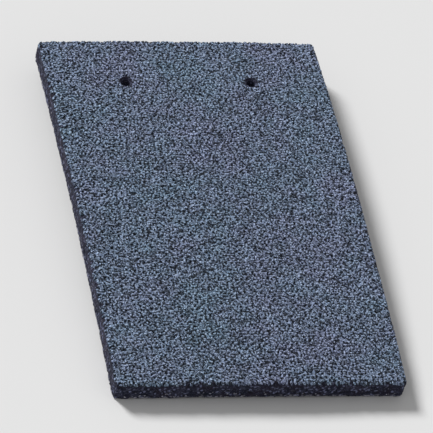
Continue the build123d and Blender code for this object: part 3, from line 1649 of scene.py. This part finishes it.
@dataclass(frozen=True)
class EdgeFinish:
    """Bare cut concrete: brown-black paste with grit, paler along the lower arris. Its paste is
    darker than the concrete's own colour, as painted shade, and it has painted shade in the
    relief's holes and painted highlight on its crests.
    """

    # Dark body colours, made darker still as painted shade on the cut edges
    paste: Colour = tint(0.006, 0.008, 0.022)
    brown: Colour = tint(0.013, 0.010, 0.024)
    grit: Colour = tint(0.082, 0.090, 0.148)
    fleck: Colour = tint(0.55, 0.55, 0.63)
    laitance: Colour = tint(0.34, 0.34, 0.41)

    def material(self) -> Material:
        """Makes the material.

        Returns:
            The material.
        """
        tree = Concrete("cut_edge")
        drift = tree.ranged(tree.noise(12 * MM, 3), (0.4, 0.6))
        colour = tree.mixed(drift, self.paste, self.brown)
        speck = tree.ranged(tree.noise(0.9 * MM, 4, 0.6), (0.3, 0.7), (0.6, 1.4))
        colour = tree.dimmed(colour, speck)
        shade = tree.attribute("shade")
        # Painted highlight: paler towards the grit colour on the relief's crests, where the shade
        # value is high
        painted_highlight = tree.ranged(shade, (0.62, 1), (0, 0.4))
        colour = tree.mixed(painted_highlight, colour, self.grit)
        fines, _ = tree.stones(0.8 * MM, 0.55, 0.5)
        colour = tree.mixed(tree.maths("MULTIPLY", fines, 0.55), colour, self.grit)
        stones, tone = tree.stones(1.7 * MM, 0.55, 0.52)
        stone = tree.dimmed(self.grit, tree.ranged(tone, (0.55, 0.8), (0.35, 1.9)))
        colour = tree.mixed(stones, colour, stone)
        fall = tree.attribute("fall")
        flecks, _ = tree.stones(1.2 * MM, 0.82, 0.45)
        low = tree.ranged(fall, (0.45, 0.9), (0.15, 0.9))
        colour = tree.mixed(tree.maths("MULTIPLY", flecks, low), colour, self.fleck)
        foot = tree.ranged(fall, (0.84, 0.95))
        streak = tree.ranged(tree.noise(9 * MM, 1), (0.42, 0.55))
        broken = tree.ranged(tree.noise(1.8 * MM, 3), (0.48, 0.56))
        bloom = tree.maths("MULTIPLY", tree.maths("MULTIPLY", foot, streak), broken)
        colour = tree.mixed(bloom, colour, self.laitance)
        # Painted shade: darker in the relief's holes, where the shade value is low
        painted_shade_factor = tree.ranged(shade, (0.0, 0.6), (0.35, 1))
        colour = tree.dimmed(colour, painted_shade_factor)
        height = tree.maths("ADD", tree.noise(0.5 * MM, 4, 0.65), stones)
        return tree.surfaced(colour, roughness=0.88, shine=0.25, height=height, depth=0.2 * MM)


@dataclass(frozen=True)
class MouldFinish:
    """Mould-formed concrete: dense dark grey skin with pale bloom and pinholes, and painted shade
    in the pinholes and blow holes.
    """

    skin: Colour = tint(0.070, 0.074, 0.084)
    bloom: Colour = tint(0.125, 0.128, 0.135)
    # Near-black for the pinholes: painted shade in them
    hole: Colour = tint(0.018, 0.018, 0.022)

    def material(self) -> Material:
        """Makes the material.

        Returns:
            The material.
        """
        tree = Concrete("mould_face")
        cloud = tree.ranged(tree.noise(30 * MM, 5, 0.6), (0.42, 0.68))
        colour = tree.mixed(cloud, self.skin, self.bloom)
        speck = tree.ranged(tree.noise(0.8 * MM, 3), (0.3, 0.7), (0.86, 1.14))
        colour = tree.dimmed(colour, speck)
        pinholes, _ = tree.stones(2.2 * MM, 0.5, 0.2)
        colour = tree.mixed(pinholes, colour, self.hole)
        # Painted shade in the blow holes, where the underside gives a low shade value
        depth = tree.ranged(tree.attribute("shade"), (0.0, 0.7), (0.4, 1))
        colour = tree.dimmed(colour, depth)
        height = tree.maths("SUBTRACT", tree.noise(1.2 * MM, 4, 0.6), pinholes)
        return tree.surfaced(colour, roughness=0.7, shine=0.35, height=height, depth=0.08 * MM)


@dataclass(frozen=True)
class PlainTile:
    """The whole tile: sand face, cut edges, nail holes, nibs and underside in one skin."""

    slab: SlabSize = SlabSize()
    flare: float = 1 * MM
    face_patch: MapPatch = MapPatch(0.004, 0.004, 3.32)
    edge_patches: tuple[MapPatch, ...] = (MapPatch(0.004, 0.905, 2.2), MapPatch(0.004, 0.945, 2.2))
    hole_patches: tuple[MapPatch, ...] = (MapPatch(0.56, 0.82, 2.2), MapPatch(0.61, 0.82, 2.2))
    nib_patches: tuple[MapPatch, ...] = (MapPatch(0.56, 0.62, 2.2), MapPatch(0.56, 0.72, 2.2))
    bed_patch: MapPatch = MapPatch(0.56, 0.004, 2.3)

    def build(self, mounts: dict[str, dict]) -> bpy.types.Object:
        """Builds the tile round the frame's mounts.

        Args:
            mounts: The record's mounts by name.

        Returns:
            The tile as one closed piece.
        """
        camber = Camber.from_frame(self.slab, mounts["nail_hole_left"])
        outline = Outline(self.slab.width / 2, self.slab.flat_length / 2, self.slab.corner_radius)
        bores = [mount for name, mount in mounts.items() if name.startswith("nail_hole")]
        holes = tuple(self._mouth(camber, bore) for bore in bores)
        skin = Skin(self.slab.thickness)
        rims = SandFace(camber, Region(outline, holes), self.face_patch).add_to(skin)
        loops = [CutEdges(camber, outline, self.edge_patches).add_to(skin, rims[0])]
        for bore, hole, patch in zip(bores, holes, self.hole_patches):
            wall = NailHoleWall(camber, hole, bore["dims"]["r_mm"] * MM, self.flare, patch)
            loops.append(wall.add_to(skin, self._rim_round(hole, rims[1:])))
        feet = [mount for name, mount in mounts.items() if name.startswith("nib_foot")]
        for foot, patch in zip(feet, self.nib_patches):
            loops.append(Nib(camber, *foot["pos_m"][:2], patch).add_to(skin))
        Underside(camber, outline, self.bed_patch).add_to(skin, loops)
        materials = (SandFinish().material(), EdgeFinish().material(), MouldFinish().material())
        return skin.build("sand_faced_tile", materials)

    def _mouth(self, camber: Camber, bore: dict) -> Hole:
        """The mouth of a nail hole in the flat face."""
        u, v, _ = camber.flatten(np.array([bore["pos_m"]]))[0]
        return Hole(u, v, bore["dims"]["r_mm"] * MM + self.flare)

    @staticmethod
    def _rim_round(hole: Hole, rims: list[Loop]) -> Loop:
        """The face's rim that runs round one hole."""
        return min(rims, key=lambda rim: abs(hole.inset(rim.flat[:, :2])).mean())


@dataclass(frozen=True)
class Studio:
    """A plain pale floor and plain soft light."""

    floor_size: float = 12.0
    floor_gap: float = 0.05 * MM
    floor_tone: float = 0.80
    backdrop: float = 0.77
    ambient: float = 0.36
    key_strength: float = 3.2
    key_place: tuple[float, float, float] = (-1.1, 1.55, 1.45)
    key_spread: float = math.radians(17)

    def build(self) -> None:
        """Makes the floor, the world and the lamp."""
        self._add_floor()
        self._add_world()
        self._add_key()
        log.info("studio: floor, ambient light and one soft key")

    def _add_floor(self) -> None:
        """Lays the floor that the tile lies on."""
        place = (0, 0, -self.floor_gap)
        bpy.ops.mesh.primitive_plane_add(size=self.floor_size, location=place)
        floor = bpy.context.object
        floor.name = "studio_floor"
        material = bpy.data.materials.new("studio_floor")
        shader = NodeTree(material).nodes["Principled BSDF"]
        tone = self.floor_tone
        shader.inputs["Base Color"].default_value = tint(tone, tone, tone)
        shader.inputs["Roughness"].default_value = 1.0
        shader.inputs["Specular IOR Level"].default_value = 0.0
        floor.data.materials.append(material)

    def _add_world(self) -> None:
        """Sets the ambient light, with a pale backdrop where the camera sees past the floor."""
        world = bpy.data.worlds.new("studio")
        bpy.context.scene.world = world
        tree = NodeTree(world)
        ray = tree.add("LightPath", {}).outputs
        seen = tree.maths("MAXIMUM", ray["Is Camera Ray"], ray["Is Glossy Ray"])
        background = tree.nodes["Background"].inputs
        tree.link(tree.ranged(seen, (0, 1), (self.ambient, self.backdrop)), background["Strength"])
        background["Color"].default_value = tint(1, 1, 1)

    def _add_key(self) -> None:
        """Hangs the soft key lamp beyond the head of the tile, to the camera's left."""
        lamp = bpy.data.lights.new("key", "SUN")
        lamp.angle = self.key_spread
        lamp.energy = self.key_strength
        key = placed("key", lamp)
        key.location = self.key_place
        key.rotation_euler = (-Vector(self.key_place)).to_track_quat("-Z", "Y").to_euler()


@dataclass(frozen=True)
class PhotographView:
    """A long lens that looks at the tile from the photograph's side, rolled as it is."""

    elevation: float = math.radians(42.6)
    azimuth: float = math.radians(21.3)
    distance: float = 2.95
    lens: float = 437.0
    sensor: float = 36.0
    aim: tuple[float, float, float] = (0.0, 0.0, 0.010)
    clip: tuple[float, float] = (0.1, 50.0)

    def build(self) -> None:
        """Makes the camera, with the tile's tail level in the picture."""
        level = Vector((-math.sin(self.azimuth), -math.cos(self.azimuth), 0))
        back = level * math.cos(self.elevation) + Vector((0, 0, math.sin(self.elevation)))
        right = (Vector((1, 0, 0)) - back * back.x).normalized()
        up = back.cross(right)
        data = bpy.data.cameras.new("photograph_view")
        data.lens = self.lens
        data.sensor_width = self.sensor
        data.clip_start, data.clip_end = self.clip
        camera = placed("photograph_view", data)
        turn = Matrix((right, up, back)).transposed().to_4x4()
        camera.matrix_world = Matrix.Translation(Vector(self.aim) + back * self.distance) @ turn
        bpy.context.scene.camera = camera
        log.info("camera: %.2f m away, %.0f mm lens", self.distance, self.lens)


def main() -> None:
    """Builds the tile, the studio and the camera."""
    logging.basicConfig(level=logging.INFO, format="%(name)s: %(message)s")
    mounts = {mount["name"]: mount for mount in frame["record"]["mounts"]}
    tile = PlainTile().build(mounts)
    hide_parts(NODE)
    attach(tile, "root")
    log.info("tile: %d triangles", len(tile.data.polygons))
    Studio().build()
    PhotographView().build()
    scene = bpy.context.scene
    scene.view_settings.view_transform = "Standard"


if __name__ == "__main__":
    main()
